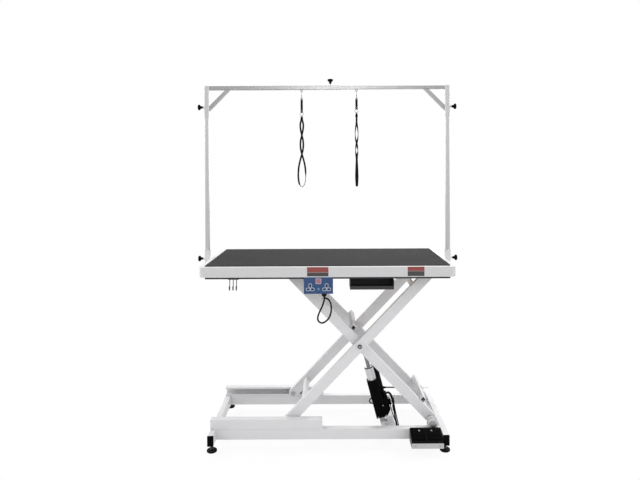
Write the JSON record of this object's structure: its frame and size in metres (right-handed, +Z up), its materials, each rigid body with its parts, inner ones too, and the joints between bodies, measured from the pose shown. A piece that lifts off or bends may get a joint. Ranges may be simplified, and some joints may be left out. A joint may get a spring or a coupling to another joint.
{
  "type": "dog grooming table",
  "caption": "Electric dog grooming table: scissor lift on a levelled base, rubber-matted top, overhead arm with leashes, foot pedal, socket box, tray and hook rack.",
  "frame": {"origin": "on the floor under the middle of the table", "axes": "+X along the table to the right, +Y from the front to the back, +Z up"},
  "size_m": [1.396, 0.65, 1.878],
  "materials": {
    "frame_paint": "light grey satin powder coat",
    "dark_paint": "black satin powder coat",
    "stainless": "brushed along the tubes",
    "pin_steel": "zinc plated",
    "bright_chrome": "polished",
    "tube_aluminium": "ribbed, anodised",
    "black_plastic": "fine grain",
    "foot_rubber": "matte",
    "mat_rubber": "fine diamond texture",
    "cable_rubber": "matte",
    "board_wood": "plywood",
    "blue_plastic": "dark blue",
    "red_plastic": "red",
    "webbing": "woven webbing"
  },
  "bodies": {
    "base": {"base_frame": "frame_paint", "base_end_caps": "black_plastic", "actuator_mount": "frame_paint", "base_rails": "frame_paint", "base_pivot_brackets": "frame_paint", "base_pivot_shaft": "pin_steel", "pedal_bracket": "dark_paint", "pedal_housing": "black_plastic", "pedal_trim": "stainless", "actuator_cable": "cable_rubber"},
    "foot_front_left": {"foot_front_left": "foot_rubber"},
    "foot_front_right": {"foot_front_right": "foot_rubber"},
    "foot_rear_left": {"foot_rear_left": "foot_rubber"},
    "foot_rear_right": {"foot_rear_right": "foot_rubber"},
    "pedal_left": {"pedal_left": "black_plastic"},
    "pedal_right": {"pedal_right": "black_plastic"},
    "inner_arms": {"inner_arm_front": "frame_paint", "inner_arm_rear": "frame_paint", "inner_cross_tubes": "frame_paint", "actuator_ears": "frame_paint", "centre_pins": "pin_steel"},
    "outer_arms": {"outer_arm_front": "frame_paint", "outer_arm_rear": "frame_paint", "outer_cross_tubes": "frame_paint"},
    "lower_rollers": {"lower_rollers": "pin_steel"},
    "upper_rollers": {"upper_rollers": "pin_steel"},
    "actuator": {"actuator_gearbox": "black_plastic", "actuator_motor": "black_plastic", "actuator_tube": "tube_aluminium", "actuator_leads": "cable_rubber"},
    "actuator_rod": {"actuator_rod": "bright_chrome"},
    "table": {"table_edge": "frame_paint", "table_board": "board_wood", "table_mat": "mat_rubber", "table_underframe": "dark_paint", "table_rails": "dark_paint", "table_pivot_brackets": "dark_paint", "hook_rack": "dark_paint", "tool_tray": "dark_paint", "control_box": "black_plastic", "socket_box": "black_plastic", "socket_plate": "blue_plastic", "socket_cord": "cable_rubber", "post_sockets": "frame_paint"},
    "switch_rocker": {"switch_rocker": "red_plastic"},
    "posts": {"posts": "stainless"},
    "overhead": {"overhead_left": "stainless", "overhead_right": "stainless"},
    "knob_low_left": {"knob_low_left": "black_plastic"},
    "knob_low_right": {"knob_low_right": "black_plastic"},
    "knob_high_left": {"knob_high_left": "black_plastic"},
    "knob_high_right": {"knob_high_right": "black_plastic"},
    "knob_bar": {"knob_bar": "black_plastic"},
    "snap_left": {"snap_left": "bright_chrome"},
    "snap_right": {"snap_right": "bright_chrome"},
    "leash_left": {"strap_left": "webbing", "leash_left": "webbing"},
    "leash_right": {"strap_right": "webbing", "leash_right": "webbing"}
  },
  "joints": [
    {"name": "lift", "type": "hinge", "parent": "base", "child": "inner_arms", "pos_m": [0.522, 0, 0.117], "axis": [0, 1, 0], "range_deg": [-38.9, 6.6]},
    {"name": "scissor", "type": "hinge", "parent": "inner_arms", "child": "outer_arms", "pos_m": [0.16078, 0, 0.49106], "axis": [0, 1, 0], "range_deg": [-13.3, 77.9]},
    {"name": "table_level", "type": "hinge", "parent": "outer_arms", "child": "table", "pos_m": [0.522, 0, 0.86511], "axis": [0, 1, 0], "range_deg": [-39, 6.7]},
    {"name": "lower_roll", "type": "hinge", "parent": "outer_arms", "child": "lower_rollers", "pos_m": [-0.20045, 0, 0.117], "axis": [0, 1, 0], "continuous": true},
    {"name": "upper_roll", "type": "hinge", "parent": "inner_arms", "child": "upper_rollers", "pos_m": [-0.20045, 0, 0.86511], "axis": [0, 1, 0], "continuous": true},
    {"name": "actuator_tilt", "type": "hinge", "parent": "base", "child": "actuator", "pos_m": [0.289, -0.08, 0.06], "axis": [0, 1, 0], "range_deg": [-46.3, 7.9], "deforming": ["actuator_cable"]},
    {"name": "rod_slide", "type": "slide", "parent": "actuator", "child": "actuator_rod", "axis": [-0.2548, 0, 0.967], "range_m": [-0.15, 0.026]},
    {"name": "foot_turn_front_left", "type": "hinge", "parent": "base", "child": "foot_front_left", "pos_m": [-0.575, -0.264, 0], "axis": [0, 0, 1], "continuous": true},
    {"name": "foot_turn_front_right", "type": "hinge", "parent": "base", "child": "foot_front_right", "pos_m": [0.575, -0.264, 0], "axis": [0, 0, 1], "continuous": true},
    {"name": "foot_turn_rear_left", "type": "hinge", "parent": "base", "child": "foot_rear_left", "pos_m": [-0.575, 0.264, 0], "axis": [0, 0, 1], "continuous": true},
    {"name": "foot_turn_rear_right", "type": "hinge", "parent": "base", "child": "foot_rear_right", "pos_m": [0.575, 0.264, 0], "axis": [0, 0, 1], "continuous": true},
    {"name": "pedal_press_left", "type": "hinge", "parent": "base", "child": "pedal_left", "pos_m": [0.44225, -0.26292, 0.09519], "axis": [1, 0, 0], "range_deg": [0, 4], "stiffness_Nm_per_rad": 2, "springref_deg": -5.73},
    {"name": "pedal_press_right", "type": "hinge", "parent": "base", "child": "pedal_right", "pos_m": [0.51975, -0.26292, 0.09519], "axis": [1, 0, 0], "range_deg": [0, 4], "stiffness_Nm_per_rad": 2, "springref_deg": -5.73},
    {"name": "switch_tip", "type": "hinge", "parent": "table", "child": "switch_rocker", "pos_m": [-0.0445, -0.317, 0.84911], "axis": [1, 0, 0], "range_deg": [-8, 8]},
    {"name": "arm_height", "type": "slide", "parent": "table", "child": "posts", "axis": [0, 0, 1], "range_m": [-0.2, 0.04]},
    {"name": "bar_height", "type": "slide", "parent": "posts", "child": "overhead", "axis": [0, 0, 1], "range_m": [-0.06, 0.03]},
    {"name": "knob_turn_low_left", "type": "hinge", "parent": "table", "child": "knob_low_left", "pos_m": [-0.672, 0, 0.91211], "axis": [-1, 0, 0], "continuous": true},
    {"name": "knob_turn_high_left", "type": "hinge", "parent": "overhead", "child": "knob_high_left", "pos_m": [-0.671, 0, 1.728], "axis": [-1, 0, 0], "continuous": true},
    {"name": "knob_turn_low_right", "type": "hinge", "parent": "table", "child": "knob_low_right", "pos_m": [0.672, 0, 0.91211], "axis": [1, 0, 0], "continuous": true},
    {"name": "knob_turn_high_right", "type": "hinge", "parent": "overhead", "child": "knob_high_right", "pos_m": [0.671, 0, 1.728], "axis": [1, 0, 0], "continuous": true},
    {"name": "knob_turn_bar", "type": "hinge", "parent": "overhead", "child": "knob_bar", "pos_m": [0.018, 0, 1.852], "axis": [0, 0, 1], "continuous": true},
    {"name": "snap_swing_left", "type": "hinge", "parent": "overhead", "child": "snap_left", "pos_m": [-0.137, 0, 1.80785], "axis": [1, 0, 0], "range_deg": [-60, 60]},
    {"name": "leash_swivel_left", "type": "hinge", "parent": "snap_left", "child": "leash_left", "pos_m": [-0.137, 0, 1.77785], "axis": [0, 0, 1], "continuous": true},
    {"name": "snap_swing_right", "type": "hinge", "parent": "overhead", "child": "snap_right", "pos_m": [0.159, 0, 1.80935], "axis": [1, 0, 0], "range_deg": [-60, 60]},
    {"name": "leash_swivel_right", "type": "hinge", "parent": "snap_right", "child": "leash_right", "pos_m": [0.159, 0, 1.77935], "axis": [0, 0, 1], "continuous": true}
  ],
  "couplings": [
    {"joint": "scissor", "follows": "lift", "ratio": -2},
    {"joint": "table_level", "follows": "lift", "ratio": 1},
    {"joint": "actuator_tilt", "follows": "lift", "ratio": 1.187},
    {"joint": "rod_slide", "follows": "lift", "m_per_rad": 0.2196}
  ]
}
